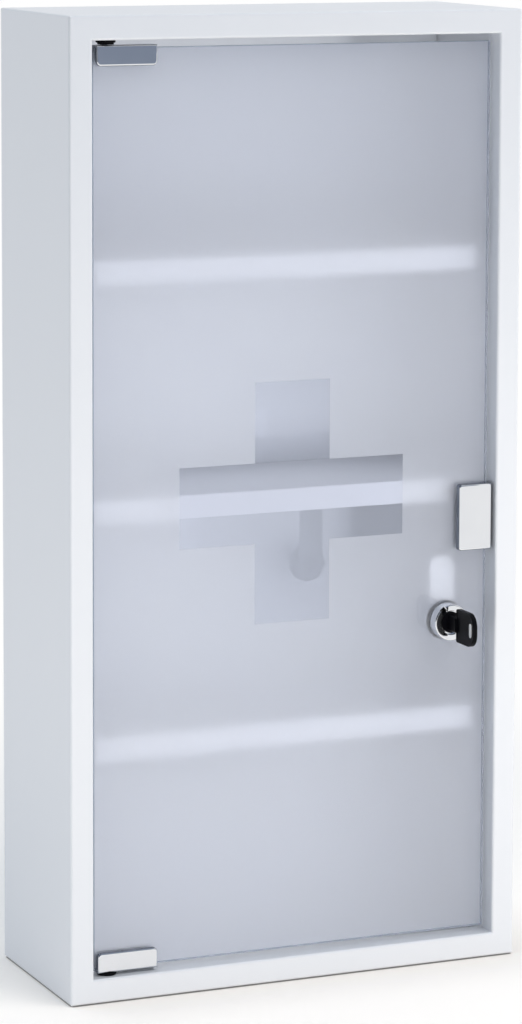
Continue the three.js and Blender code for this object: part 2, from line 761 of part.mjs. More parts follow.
function handle() {
  const group = new THREE.Group();
  group.position.set(glassHalf, frontY + pivotDepth, handleZ);
  group.add(
    piece('handle_clip', chrome(), handleClip()),
    piece('handle_front_pad', clearPlastic(), handlePad(-1)),
    piece('handle_rear_pad', clearPlastic(), handlePad(1)),
    piece('handle_screw', zincPlate(), grubScrew(HANDLE_WALL), [handleLeft / 2, 0, 0]),
  );
  return group;
}

function lockAndKey() {
  const group = new THREE.Group();
  group.position.set(lockX, frontY, lockZ);
  group.add(
    piece('lock_body', chrome(), lockBody()),
    piece('lock_gasket', clearPlastic(), lockGasket()),
    piece('lock_washer', blackPlastic(), lockWasher()),
    piece('lock_nut', zincPlate(), lockNut()),
    piece('plug_cap', blackPlastic(), plugCap()),
    piece('lock_plug', zincPlate(), lockPlug()),
    piece('lock_cam', zincPlate(), lockCam()),
    piece('cam_washer', zincPlate(), camWasher()),
    piece('cam_screw', zincPlate(), camScrew()),
    piece('key_blade', zincPlate(), keyBlade()),
    piece('key_head', blackPlastic(), keyHead()),
  );
  return group;
}

const door = new THREE.Group();
door.add(
  piece('glass_pane', frostedGlass(), glassPane()),
  hinge('upper', glassTop, HINGE_LIFT, false),
  hinge('lower', glassBottom, HINGE_REST, true),
  handle(),
  lockAndKey(),
);

const medicalCabinet = new THREE.Group();
medicalCabinet.add(cabinet(), door);

export default medicalCabinet;
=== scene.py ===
import math

import bmesh
import bpy
from bpy.props import FloatProperty, FloatVectorProperty, PointerProperty
from mathutils import Matrix, Vector


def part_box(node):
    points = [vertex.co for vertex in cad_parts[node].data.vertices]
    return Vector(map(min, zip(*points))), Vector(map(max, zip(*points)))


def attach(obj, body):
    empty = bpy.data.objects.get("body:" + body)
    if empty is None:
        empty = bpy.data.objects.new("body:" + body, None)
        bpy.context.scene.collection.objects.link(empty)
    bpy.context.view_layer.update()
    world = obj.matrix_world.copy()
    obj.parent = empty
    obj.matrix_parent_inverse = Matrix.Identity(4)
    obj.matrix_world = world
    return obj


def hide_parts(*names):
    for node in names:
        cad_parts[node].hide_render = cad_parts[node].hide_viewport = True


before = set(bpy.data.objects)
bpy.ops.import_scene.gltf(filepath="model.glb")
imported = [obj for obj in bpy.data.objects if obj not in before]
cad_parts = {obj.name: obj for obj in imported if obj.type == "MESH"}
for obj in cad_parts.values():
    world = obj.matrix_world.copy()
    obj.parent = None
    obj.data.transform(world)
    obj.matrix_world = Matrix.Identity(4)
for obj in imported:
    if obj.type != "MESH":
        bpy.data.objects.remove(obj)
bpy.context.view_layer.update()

MM = 0.001
MERGE = 1e-7
SAME = 1e-6
OVERCUT = MM
SCREW_PLAY = 0.15 * MM
FIT_PLAY = 0.1 * MM
SMALL_ROUND = 0.4 * MM
BUSH_ROUND = 0.35 * MM
HOLE_STEPS = 32
SHARP = math.radians(20)
# Limits for the part of a face's normal along an axis
SQUARE_ON, FACING, WALL, EDGE_ON = 0.99, 0.9, 0.7, 0.5
WHITE = (1, 1, 1, 1)
GLASS_IOR = 1.5
GLASS_DRIFT = 60 * MM
GLASS_GRAIN = 0.9 * MM
FLOOR_ROUGHNESS = 0.8
FLOOR_SPECULAR = 0.1
FLOOR_RAYS = 16
# Openness of the floor under the base and right beside it
OPEN_UNDER, OPEN_BESIDE = 0.3, 0.5

bl_info = {
    "name": "Medicine cabinet",
    "version": (1, 0, 0),
    "blender": (4, 5, 0),
    "location": "View3D > Sidebar > Cabinet",
    "description": "Finishes and fittings of a glass door medicine cabinet, with a white studio",
    "category": "Object",
}


# Settings that a user would change


def length(name, description, millimetres):
    return FloatProperty(
        name=name, description=description, default=millimetres * MM, unit="LENGTH", precision=5
    )


def position(name, description, metres):
    return FloatVectorProperty(
        name=name, description=description, default=metres, size=3, subtype="TRANSLATION"
    )


def angle(name, description, degrees):
    return FloatProperty(
        name=name, description=description, default=math.radians(degrees), subtype="ANGLE"
    )


def share(name, description, default):
    return FloatProperty(
        name=name, description=description, default=default, min=0, max=1, subtype="FACTOR"
    )


def power(name, description, watts):
    return FloatProperty(name=name, description=description, default=watts, min=0, unit="POWER")


def level(name, description, default):
    return FloatProperty(name=name, description=description, default=default, min=0)


def colour(name, description, default):
    return FloatVectorProperty(
        name=name, description=description, default=default, size=3, min=0, max=1, subtype="COLOR"
    )


class FinishSettings(bpy.types.PropertyGroup):
    """Colours of the finishes"""

    coat: colour("Powder coat", "Colour of the coated sheet", (0.815, 0.82, 0.83))
    coat_pale: colour("Powder coat, pale", "Paler drift in the coat", (0.865, 0.868, 0.875))
    # The back panel's bluer, paler colour is painted blue shade and painted light for the inside of
    # the cabinet
    panel: colour("Back panel", "Colour of the glossy back panel", (0.84, 0.865, 0.90))
    panel_pale: colour("Back panel, pale", "Paler drift in the back panel", (0.88, 0.90, 0.935))
    chrome: colour("Chrome", "Colour of the plated fittings", (0.73, 0.745, 0.77))
    chrome_pale: colour("Chrome, pale", "Paler drift in the plating", (0.80, 0.81, 0.83))
    # The walls' darker colour is a painted dark reflection of the surroundings that the plated
    # walls mirror
    wall_painted_reflection: colour("Smoked plate", "Colour of the plated fittings' walls", (0.16, 0.18, 0.22))
    wall_painted_reflection_pale: colour("Smoked plate, pale", "Paler drift in the walls", (0.24, 0.26, 0.30))
    zinc: colour("Zinc", "Colour of the zinc plate", (0.56, 0.57, 0.60))
    zinc_pale: colour("Zinc, pale", "Warmer drift in the zinc plate", (0.74, 0.73, 0.69))
    satin: colour("Satin plate", "Colour of the lock's cam", (0.88, 0.89, 0.90))
    satin_pale: colour("Satin plate, pale", "Paler drift in the satin plate", (0.94, 0.94, 0.95))
    black: colour("Black plastic", "Colour of the mouldings", (0.002, 0.002, 0.003))
    black_pale: colour("Black plastic, pale", "Paler drift in the mouldings", (0.006, 0.006, 0.008))
    liner: colour("Clear plastic", "Colour of the soft liners", (0.80, 0.83, 0.85))
    liner_pale: colour("Clear plastic, pale", "Paler drift in the liners", (0.90, 0.92, 0.93))
    ferrite: colour("Ferrite", "Colour of the magnet", (0.05, 0.05, 0.055))
    ferrite_pale: colour("Ferrite, pale", "Grains in the magnet", (0.13, 0.13, 0.14))


class GlassSettings(bpy.types.PropertyGroup):
    """The pane, its frosting and its clear cross"""

    clear: colour("Clear glass", "Tint of the polished face and the cross", (0.87, 0.895, 0.98))
    clear_pale: colour("Clear glass, pale", "Paler drift in the clear glass", (0.885, 0.91, 0.99))
    milk: colour("Frosted glass", "Tint of the frosted back", (0.94, 0.955, 1.0))
    milk_pale: colour("Frosted glass, pale", "Paler drift in the frosting", (0.96, 0.975, 1.0))
    edge: colour("Glass edge", "Tint of the pane's edges", (0.30, 0.36, 0.46))
    edge_pale: colour("Glass edge, pale", "Paler drift in the pane's edges", (0.42, 0.48, 0.58))
    passing: colour(
        "Light let in", "Share of the light that a face of the pane lets in", (0.955, 0.975, 1.0)
    )
    body: share("Clear share", "How far the frosting is clear rather than milky", 0.72)
    frost: share("Frosting", "Roughness of the frosted back", 0.78)
    ground: share("Ground edge", "Roughness of the pane's edges", 0.5)
    span: length("Cross", "Length of the cross's arms, end to end", 150)
    arm: length("Arm", "Width of an arm of the cross", 50)
    height: length("Height", "Middle of the cross above the base", 299)
    arris: length("Arris", "Rounding of the pane's edges", 0.4)
    clearance: length("Lock clearance", "Hole in the pane beyond the lock's barrel", 0.5)


class FittingSettings(bpy.types.PropertyGroup):
    """Sheet thicknesses and roundings of the fittings on the door"""

    hinge_plate: length("Hinge plate", "Thickness of the hinge's front plate", 2.2)
    hinge_leg: length("Hinge leg", "Thickness of the hinge's rear leg", 3)
    hinge_web: length("Hinge web", "Thickness of the hinge across the edge of the glass", 1.5)
    hinge_corner: length("Hinge corner", "Radius at the hinge's free corners", 2.8)
    hinge_rim: length("Hinge rim", "Rounding of the hinge's outer edges", 1.1)
    handle_plate: length("Handle plate", "Thickness of the handle's front plate", 4)
    handle_wall: length("Handle wall", "Thickness of the handle's other walls", 1.6)
    handle_corner: length("Handle corner", "Radius at the handle's left corners", 1.8)
    handle_rim: length("Handle rim", "Rounding of the handle's outer edges", 1.2)
    bezel_recess: length("Bezel recess", "Diameter of the recess in the lock's bezel", 15)
    bezel_depth: length("Recess depth", "Depth of the recess in the lock's bezel", 2.2)
    bezel_rim: length("Bezel rim", "Rounding of the bezel", 0.9)
    slot_width: length("Spanner slot", "Width of the slot across the bezel", 4)
    slot_depth: length("Slot depth", "Depth of the slot across the bezel", 1.2)
    slot_turn: angle("Slot turn", "Turn of the slot from level", 125)
    bore: length("Plug bore", "Diameter of the bore for the plug", 12.2)
    barrel: length("Barrel", "Diameter of the lock's barrel", 18)
    keyway_width: length("Keyway", "Width of the keyway", 2.4)
    keyway_height: length("Keyway height", "Height of the keyway", 8.4)
    bush_shank: length("Bush shank", "Diameter of the bush's shank", 8.4)
    bush_bore: length("Bush bore", "Diameter of the bush's bore", 5.16)
    bush_flange: length("Bush flange", "Thickness of the bush's flange", 1.6)
    bush_collar: length("Bush collar", "Diameter of the collar that the hinge runs on", 10)
    bush_reach: length("Collar reach", "Length of the collar below the flange", 1.1)


class KeySettings(bpy.types.PropertyGroup):
    """The moulded head of the key"""

    thickness: length("Head", "Thickness of the head", 3.2)
    corner: length("Outer corner", "Radius at the head's outer corners", 8)
    heel: length("Heel", "Radius at the head's inner corners", 1.5)
    rim: length("Rim", "Rounding of the moulding", 0.7)
    panel: length("Panel", "Width of the border round the sunk panel", 2)
    sunk: length("Sunk", "Depth of the sunk panel", 0.35)
    eye_width: length("Eye", "Width of the eye", 3.4)
    eye_height: length("Eye height", "Height of the eye", 9)
    eye_inset: length("Eye inset", "End of the head to the middle of the eye", 4.5)
    neck_width: length("Neck", "Width of the neck", 6)
    neck_height: length("Neck height", "Height of the neck", 9.6)
    neck_corner: length("Neck corner", "Rounding along the neck", 1.5)
    reach: length("Reach", "Front of the bezel to the head", 8.6)


class StudioSettings(bpy.types.PropertyGroup):
    """Light, floor and camera"""

    sky: colour("Surround", "Tint of the soft light all round", (0.73, 0.845, 1.0))
    sky_level: level("Surround level", "Strength of the soft light all round", 0.59)
    key_tint: colour("Key tint", "Colour of the large lamp", (1.0, 0.965, 0.915))
    key_power: power("Key power", "Power of the large lamp", 21)
    key_size: length("Key size", "Side of the large lamp", 1400)
    key_place: position("Key place", "Place of the large lamp", (0.7, -1.1, 2.3))
    key_target: position("Key target", "Place that the large lamp faces", (0, 0, 0.3))
    fill_tint: colour("Fill tint", "Colour of the low lamp", (1.0, 0.965, 0.915))
    fill_power: power("Fill power", "Power of the low lamp", 4.5)
    fill_size: length("Fill size", "Width of the low lamp", 1600)
    fill_height: length("Fill height", "Height of the low lamp", 240)
    fill_place: position("Fill place", "Place of the low lamp", (0.28, -0.92, 0.13))
    fill_target: position("Fill target", "Place that the low lamp faces", (0, 0, 0.12))
    wash_tint: colour("Wash tint", "Colour of the small lamp on the left", (0.90, 0.95, 1.0))
    wash_power: power("Wash power", "Power of the small lamp", 0.55)
    wash_size: length("Wash size", "Width of the small lamp", 500)
    wash_height: length("Wash height", "Height of the small lamp", 150)
    wash_place: position("Wash place", "Place of the small lamp", (-0.75, -0.05, 0.1))
    wash_target: position("Wash target", "Place that the small lamp faces", (-0.15, 0, 0.05))
    floor: colour("Floor", "Colour of the floor", (0.95, 0.89, 0.82))
    floor_lift: level("Floor lift", "Light of its own that the floor shows", 0.27)
    floor_drop: length("Floor drop", "Gap between the base and the floor", 0.6)
    contact_reach: length("Contact reach", "Reach of the shade along the base", 38)
    contact_dark: share("Contact dark", "Light left under the base", 0.42)
    contact_shade: share("Contact shade", "Light left beside the base", 0.93)
    front_reach: length("Front reach", "Reach of the soft shade in front of the base", 62)
    front_shade: share("Front shade", "Light left in front of the base", 0.68)
    front_lean: FloatVectorProperty(
        name="Front lean",
        description="Lean of that shade's view, added to the floor's normal",
        default=(-0.8, 0.6, -0.8),
    )
    floor_near: length("Floor near", "Distance at which the floor starts to turn white", 420)
    floor_far: length("Floor far", "Distance at which the floor is white", 880)
    floor_radius: length("Floor radius", "Radius of the floor", 4000)
    curtain_left: colour("Curtain, left", "Colour to the front left", (0.04, 0.045, 0.06))
    curtain_right: colour("Curtain, right", "Colour to the front right", (0.24, 0.28, 0.36))
    curtain_turn: length("Curtain turn", "Place across where it has its right colour", 200)
    curtain_radius: length("Curtain radius", "Radius of the curtain", 3400)
    curtain_top: length("Curtain top", "Height of the curtain's wall", 2400)
    curtain_mouth: length("Curtain mouth", "Radius of the hole in the curtain's roof", 500)
    curtain_roof: length("Curtain roof", "Height of the hole in the curtain's roof", 3200)
    curtain_fade: length("Curtain fade", "Height over which the curtain darkens", 360)
    curtain_start: angle("Curtain start", "Left end of the curtain, turned from the front", -110)
    curtain_end: angle("Curtain end", "Right end of the curtain, turned from the front", 45)
    camera: position("Camera", "Place of the camera", (-0.9654, -2.2250, 0.7022))
    turn: angle("Camera turn", "Turn of the camera to the right", 23.455)
    tilt: angle("Camera tilt", "Tilt of the camera down from level", 6.311)
    roll: angle("Camera roll", "Roll of the camera about its own axis", 0.182)
    lens: level("Lens", "Focal length of the camera in millimetres", 137.72)
    shift: FloatProperty(
        name="Lens shift", description="Upright shift of the lens", default=-0.2314
    )


class CabinetSettings(bpy.types.PropertyGroup):
    """All the settings of the cabinet"""

    finish: PointerProperty(type=FinishSettings)
    glass: PointerProperty(type=GlassSettings)
    fitting: PointerProperty(type=FittingSettings)
    key: PointerProperty(type=KeySettings)
    studio: PointerProperty(type=StudioSettings)


def settings():
    return bpy.context.scene.medicine_cabinet


# Shader nodes


def add_node(tree, kind, inputs=None, **options):
    """A node with its options set, and each input given a value or the socket that feeds it."""
    node = tree.nodes.new(kind)
    for option, value in options.items():
        setattr(node, option, value)
    for name, value in (inputs or {}).items():
        if isinstance(value, bpy.types.NodeSocket):
            tree.links.new(value, node.inputs[name])
        else:
            node.inputs[name].default_value = value
    return node


def calculate(tree, operation, first, second):
    """The result of an operation on two numbers."""
    node = add_node(tree, "ShaderNodeMath", {0: first, 1: second}, operation=operation)
    return node.outputs[0]


def remap(tree, value, limits, **options):
    """A number taken from one range to another."""
    node = add_node(tree, "ShaderNodeMapRange", {"Value": value, **limits}, **options)
    return node.outputs[0]


def blend(tree, part, first, second):
    """A colour between two colours, with the Mix node's sockets for colours."""
    node = add_node(tree, "ShaderNodeMix", {0: part, 6: first, 7: second}, data_type="RGBA")
    return node.outputs[2]


def mix_shaders(tree, part, first, second):
    """A shader between the shaders of two nodes."""
    inputs = {0: part, 1: first.outputs[0], 2: second.outputs[0]}
    return add_node(tree, "ShaderNodeMixShader", inputs)


def new_group(name, inputs, outputs):
    """An empty node group with its named sockets, and its input and output nodes."""
    group = bpy.data.node_groups.new(name, "ShaderNodeTree")
    for label, kind in inputs:
        group.interface.new_socket(label, in_out="INPUT", socket_type=kind)
    for label, kind in outputs:
        group.interface.new_socket(label, in_out="OUTPUT", socket_type=kind)
    return group, group.nodes.new("NodeGroupInput"), group.nodes.new("NodeGroupOutput")


def drift_and_grain():
    """Slow drift and fine grain over a surface, each from 0 to 1, with their sizes in metres."""
    name = "drift_and_grain"
    if name in bpy.data.node_groups:
        return bpy.data.node_groups[name]
    group, given, made = new_group(
        name,
        [
            ("Vector", "NodeSocketVector"),
            ("Drift Size", "NodeSocketFloat"),
            ("Grain Size", "NodeSocketFloat"),
        ],
        [("Drift", "NodeSocketFloat"), ("Grain", "NodeSocketFloat")],
    )
    for output, detail in (("Drift", 3), ("Grain", 1)):
        scale = calculate(group, "DIVIDE", 1.0, given.outputs[f"{output} Size"])
        noise = add_node(
            group,
            "ShaderNodeTexNoise",
            {"Vector": given.outputs["Vector"], "Scale": scale, "Detail": detail},
        )
        group.links.new(noise.outputs[0], made.inputs[output])
    return group


def new_material(name):
    material = bpy.data.materials.new(name)
    material.use_nodes = True
    material.node_tree.nodes.clear()
    return material, material.node_tree


def show(tree, shader):
    add_node(tree, "ShaderNodeOutputMaterial", {"Surface": shader.outputs[0]})


def rgba(value):
    return (*value, 1.0)


def object_place(tree):
    return add_node(tree, "ShaderNodeTexCoord").outputs["Object"]


def tones(part, name):
    """A colour of the settings and its paler drift."""
    return rgba(getattr(part, name)), rgba(getattr(part, f"{name}_pale"))


def about(value, part):
    """A range that reaches a part of a value below it and above it."""
    return value * (1 - part), value * (1 + part)


def surface(tree, pair, roughness, drift, grain, relief):
    """Colour, roughness and normal that drift slowly over a surface, with a fine relief in it."""
    sizes = {"Vector": object_place(tree), "Drift Size": drift, "Grain Size": grain}
    texture = add_node(tree, "ShaderNodeGroup", sizes, node_tree=drift_and_grain())
    slow, fine = texture.outputs["Drift"], texture.outputs["Grain"]
    least, most = roughness
    strength, depth = relief
    bump = add_node(
        tree, "ShaderNodeBump", {"Strength": strength, "Distance": depth, "Height": fine}
    )
    return {
        "Base Color": blend(tree, slow, *pair),
        "Roughness": remap(tree, slow, {"To Min": least, "To Max": most}),
        "Normal": bump.outputs[0],
    }


# Each finish: its colour in the settings, its least and most roughness, the strength and depth of
# its relief, the sizes of its drift and grain in metres, and the other sockets of its shader
FINISHES = {
    "powder_coat": {
        "tones": "coat", "roughness": (0.10, 0.15), "relief": (0.05, 0.0001),
        "drift": 0.09, "grain": 0.0011,
        "sockets": {"Coat Weight": 1.0, "Coat IOR": 1.9, "Coat Roughness": 0.05},
    },
    # Glossy coat of the back panel, its colour tinted with painted blue shade and painted light
    "gloss_coat": {
        "tones": "panel", "roughness": (0.08, 0.12), "relief": (0.03, 0.0001),
        "drift": 0.09, "grain": 0.0011,
        "sockets": {"Coat Weight": 1.0, "Coat IOR": 2.5, "Coat Roughness": 0.02},
    },
    "chrome_plate": {
        "tones": "chrome", "roughness": (0.05, 0.11), "relief": (0.05, 0.00005),
        "drift": 0.02, "grain": 0.003, "sockets": {"Metallic": 1.0},
    },
    # Painted dark reflection on the walls of the plated fittings
    "smoked_plate": {
        "tones": "wall_painted_reflection", "roughness": (0.12, 0.22), "relief": (0.05, 0.00005),
        "drift": 0.01, "grain": 0.002, "sockets": {"Metallic": 1.0},
    },
    "zinc_plate": {
        "tones": "zinc", "roughness": (0.24, 0.38), "relief": (0.15, 0.00005),
        "drift": 0.006, "grain": 0.0006, "sockets": {"Metallic": 1.0},
    },
    "satin_plate": {
        "tones": "satin", "roughness": (0.4, 0.5), "relief": (0.1, 0.00003),
        "drift": 0.005, "grain": 0.0005, "sockets": {"Metallic": 0.25},
    },
    "black_moulding": {
        "tones": "black", "roughness": (0.28, 0.42), "relief": (0.18, 0.00004),
        "drift": 0.008, "grain": 0.0005, "sockets": {"Specular IOR Level": 0.05},
    },
    "clear_liner": {
        "tones": "liner", "roughness": (0.15, 0.3), "relief": (0.1, 0.00005),
        "drift": 0.01, "grain": 0.001, "sockets": {"Transmission Weight": 0.85, "IOR": 1.46},
    },
    "ferrite": {
        "tones": "ferrite", "roughness": (0.5, 0.7), "relief": (0.3, 0.00005),
        "drift": 0.0012, "grain": 0.0004, "sockets": {},
    },
}


def finish(name):
    """The material of a finish, made when it's first asked for."""
    if name in bpy.data.materials:
        return bpy.data.materials[name]
    material, tree = new_material(name)
    look = FINISHES[name]
    pair = tones(settings().finish, look["tones"])
    texture = surface(
        tree, pair, look["roughness"], look["drift"], look["grain"], look["relief"]
    )
    show(tree, add_node(tree, "ShaderNodeBsdfPrincipled", {**texture, **look["sockets"]}))
    return material


def glass(name, colour_name, roughness, relief, transmission):
    """Glass that lets the light of the lamps through, so that it reaches the shelves."""
    g = settings().glass
    material, tree = new_material(name)
    texture = surface(
        tree, tones(g, colour_name), roughness, GLASS_DRIFT, GLASS_GRAIN, relief
    )
    solid = add_node(
        tree,
        "ShaderNodeBsdfPrincipled",
        {**texture, "IOR": GLASS_IOR, "Transmission Weight": transmission},
    )
    passing = add_node(tree, "ShaderNodeBsdfTransparent", {"Color": rgba(g.passing)})
    ray = add_node(tree, "ShaderNodeLightPath")
    show(tree, mix_shaders(tree, ray.outputs["Is Shadow Ray"], solid, passing))
    return material


def clear_glass():
    return glass(
        "clear_glass", "clear", roughness=(0.0, 0.012), relief=(0.02, 0.00002), transmission=1.0
    )


def frosted_glass():
    g = settings().glass
    return glass(
        "frosted_glass",
        "milk",
        roughness=about(g.frost, 0.04),
        relief=(0.1, 0.00004),
        transmission=g.body,
    )


def ground_glass():
    g = settings().glass
    return glass(
        "ground_glass",
        "edge",
        roughness=about(g.ground, 0.1),
        relief=(0.2, 0.00005),
        transmission=0.7,
    )


# Shapes


def prism(corners, along):
    """A closed solid: a flat face through a few corners, extruded along a vector."""
    bm = bmesh.new()
    face = bm.faces.new([bm.verts.new(corner) for corner in corners])
    made = bmesh.ops.extrude_face_region(bm, geom=[face])["geom"]
    moved = [part for part in made if isinstance(part, bmesh.types.BMVert)]
    bmesh.ops.translate(bm, verts=moved, vec=along)
    bmesh.ops.recalc_face_normals(bm, faces=bm.faces[:])
    return bm


def box(low, high):
    """A closed block between two corners."""
    bm = bmesh.new()
    bmesh.ops.create_cube(bm, size=1)
    size = [b - a for a, b in zip(low, high)]
    middle = [(a + b) / 2 for a, b in zip(low, high)]
    bmesh.ops.scale(bm, vec=size, verts=bm.verts[:])
    bmesh.ops.translate(bm, vec=middle, verts=bm.verts[:])
    return bm


def turned(axis, centre, profile, steps=96):
    """A closed solid spun from [radius, place on the axis] points."""
    bm = bmesh.new()
    ends = Vector(centre)
    verts = []
    for radius, place in profile:
        at = ends.copy()
        at.x += radius
        at["xyz".index(axis)] = place
        verts.append(bm.verts.new(at))
    loop = verts + [verts[0]] if profile[0][0] > 0 else verts
    edges = [bm.edges.new(pair) for pair in zip(loop, loop[1:])]
    line = Vector((axis == "x", axis == "y", axis == "z"))
    bmesh.ops.spin(
        bm,
        geom=verts + edges,
        cent=ends,
        axis=line,
        angle=2 * math.pi,
        steps=steps,
        use_merge=True,
        use_duplicate=False,
    )
    bmesh.ops.remove_doubles(bm, verts=bm.verts[:], dist=MERGE)
    bmesh.ops.recalc_face_normals(bm, faces=bm.faces[:])
    return bm


def rod(radius, start, end):
    """The profile of a plain cylinder, to be turned."""
    return [(0, start), (radius, start), (radius, end), (0, end)]


def round_edges(bm, test, radius, segments=4):
    """Rounds the sharp edges that pass a test on their two ends."""
    bm.normal_update()
    picked = [
        edge
        for edge in bm.edges
        if edge.is_manifold
        and edge.calc_face_angle(0) > SHARP
        and test(edge.verts[0].co, edge.verts[1].co)
    ]
    bmesh.ops.bevel(
        bm,
        geom=picked,
        offset=radius,
        offset_type="OFFSET",
        affect="EDGES",
        segments=segments,
        profile=0.5,
        material=-1,
        clamp_overlap=True,
    )


def near(a, b):
    return abs(a - b) < SAME


def lies_along(axis, a, b):
    return all(near(a[i], b[i]) for i in range(3) if i != axis)


def as_object(name, bm):
    bmesh.ops.remove_doubles(bm, verts=bm.verts[:], dist=MERGE)
    bmesh.ops.recalc_face_normals(bm, faces=bm.faces[:])
    mesh = bpy.data.meshes.new(name)
    bm.to_mesh(mesh)
    bm.free()
    made = bpy.data.objects.new(name, mesh)
    bpy.context.scene.collection.objects.link(made)
    return made


def bake(made):
    """Takes an object's modifiers into its mesh."""
    graph = bpy.context.evaluated_depsgraph_get()
    result = bpy.data.meshes.new_from_object(
        made.evaluated_get(graph), preserve_all_data_layers=True, depsgraph=graph
    )
    made.modifiers.clear()
    plain = made.data
    made.data = result
    bpy.data.meshes.remove(plain)


def combine(target, bm, operation):
    """Joins a shape to an object or cuts it away."""
    tool = as_object("tool", bm)
    change = target.modifiers.new("combine", "BOOLEAN")
    change.object = tool
    change.operation = operation
    change.solver = "EXACT"
    bake(target)
    tool_mesh = tool.data
    bpy.data.objects.remove(tool)
    bpy.data.meshes.remove(tool_mesh)


def drill(target, axis, filler, play, start, end):
    """Cuts a round hole for a pin or screw, given its box, with some play."""
    low, high = filler
    hole = rod((high.x - low.x) / 2 + play, start, end)
    combine(target, turned(axis, (low + high) / 2, hole, steps=HOLE_STEPS), "DIFFERENCE")


def finished_piece(made, material, body, slot, *nodes, crease=32):
    """Closes a piece: its shading between creases, its finish, body and nodes. The slot is not
    used.
    """
    bm = bmesh.new()
    bm.from_mesh(made.data)
    bmesh.ops.remove_doubles(bm, verts=bm.verts[:], dist=MERGE)
    bmesh.ops.dissolve_degenerate(bm, edges=bm.edges[:], dist=MERGE)
    if any(len(edge.link_faces) != 2 for edge in bm.edges):
        raise RuntimeError(f"{made.name} isn't closed")
    bm.to_mesh(made.data)
    bm.free()
    made.data.shade_smooth()
    made.data.set_sharp_from_angle(angle=math.radians(crease))
    flat = made.modifiers.new("flat_faces", "WEIGHTED_NORMAL")
    flat.weight = 100
    flat.keep_sharp = True
    bake(made)
    made.data.name = made.name
    made.data.materials.clear()
    made.data.materials.append(material)
    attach(made, body)
    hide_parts(*nodes)


def dress(material, *nodes):
    """Gives carried-over solids their finish."""
    for node in nodes:
        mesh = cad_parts[node].data
        mesh.materials.clear()
        mesh.materials.append(material)


def paint(made, material, test):
    """Gives the faces that pass a test another finish."""
    made.data.materials.append(material)
    added = len(made.data.materials) - 1
    for face in made.data.polygons:
        if test(face):
            face.material_index = added


def is_wall(face):
    """Whether a face of a plated fitting stands across the glass, where it gets a painted dark
    reflection.
    """
    return abs(face.normal.y) < WALL


# Operators


class CABINET_OT_carcass(bpy.types.Operator):
    """Coats the carcass, back panel and shelves, and finishes the magnet"""

    bl_idname = "cabinet.carcass"
    bl_label = "Carcass and shelves"

    def execute(self, context):
        dress(finish("powder_coat"), "cabinet_shell", "upper_shelf", "middle_shelf", "lower_shelf")
        # The back panel's coat carries a painted blue shade and painted light
        dress(finish("gloss_coat"), "back_panel")
        dress(finish("ferrite"), "catch_magnet")
        return {"FINISHED"}


class CABINET_OT_glass_door(bpy.types.Operator):
    """Makes the glass pane with its ground edges, frosting and clear cross"""

    bl_idname = "cabinet.glass_door"
    bl_label = "Glass pane"

    def etch(self, bm, low, high):
        """Cuts the outline of the cross into the back of the pane."""
        g = settings().glass
        middle = (low.x + high.x) / 2
        for side in (-1, 1):
            for half in (g.span / 2, g.arm / 2):
                for place, normal in (
                    ((middle + side * half, 0, 0), (1, 0, 0)),
                    ((0, 0, g.height + side * half), (0, 0, 1)),
                ):
                    bm.normal_update()
                    back = [face for face in bm.faces if face.normal.y > SQUARE_ON]
                    edges = {edge for face in back for edge in face.edges}
                    verts = {vert for face in back for vert in face.verts}
                    bmesh.ops.bisect_plane(
                        bm,
                        geom=[*verts, *edges, *back],
                        dist=MERGE,
                        plane_co=place,
                        plane_no=normal,
                    )

    def finish_of(self, face, low, high):
        """Whether a face of the pane is polished, frosted or ground."""
        g = settings().glass
        away_x = abs(face.center.x - (low.x + high.x) / 2)
        away_z = abs(face.center.z - g.height)
        if abs(face.normal.y) < FACING:
            return "ground"
        if face.normal.y < 0:
            return "polished"
        upright = away_x < g.arm / 2 and away_z < g.span / 2
        level = away_x < g.span / 2 and away_z < g.arm / 2
        return "polished" if upright or level else "frosted"

    def execute(self, context):
        g = settings().glass
        low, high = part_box("glass_pane")
        lock_low, lock_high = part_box("lock_body")
        bm = bmesh.new()
        corners = [(low.x, low.z), (high.x, low.z), (high.x, high.z), (low.x, high.z)]
        outer = [bm.verts.new((x, low.y, z)) for x, z in corners]
        for here, after in zip(outer, outer[1:] + outer[:1]):
            bm.edges.new((here, after))
        lock_middle = (lock_low + lock_high) / 2
        place = Matrix.Translation((lock_middle.x, low.y, lock_middle.z))
        turn = Matrix.Rotation(math.pi / 2, 4, "X")
        bmesh.ops.create_circle(
            bm,
            cap_ends=False,
            radius=settings().fitting.barrel / 2 + g.clearance,
            segments=72,
            matrix=place @ turn,
        )
        bmesh.ops.triangle_fill(bm, use_beauty=True, edges=bm.edges[:])
        made = bmesh.ops.extrude_face_region(bm, geom=bm.faces[:])["geom"]
        moved = [part for part in made if isinstance(part, bmesh.types.BMVert)]
        bmesh.ops.translate(bm, verts=moved, vec=(0, high.y - low.y, 0))
        bmesh.ops.recalc_face_normals(bm, faces=bm.faces[:])
        round_edges(bm, lambda a, b: near(a.y, b.y), g.arris, segments=2)
        self.etch(bm, low, high)
        pane = as_object("glass_door", bm)
        finished_piece(pane, clear_glass(), "door", "frosted_glass", "glass_pane")
        paint(pane, frosted_glass(), lambda face: self.finish_of(face, low, high) == "frosted")
        paint(pane, ground_glass(), lambda face: self.finish_of(face, low, high) == "ground")
        return {"FINISHED"}


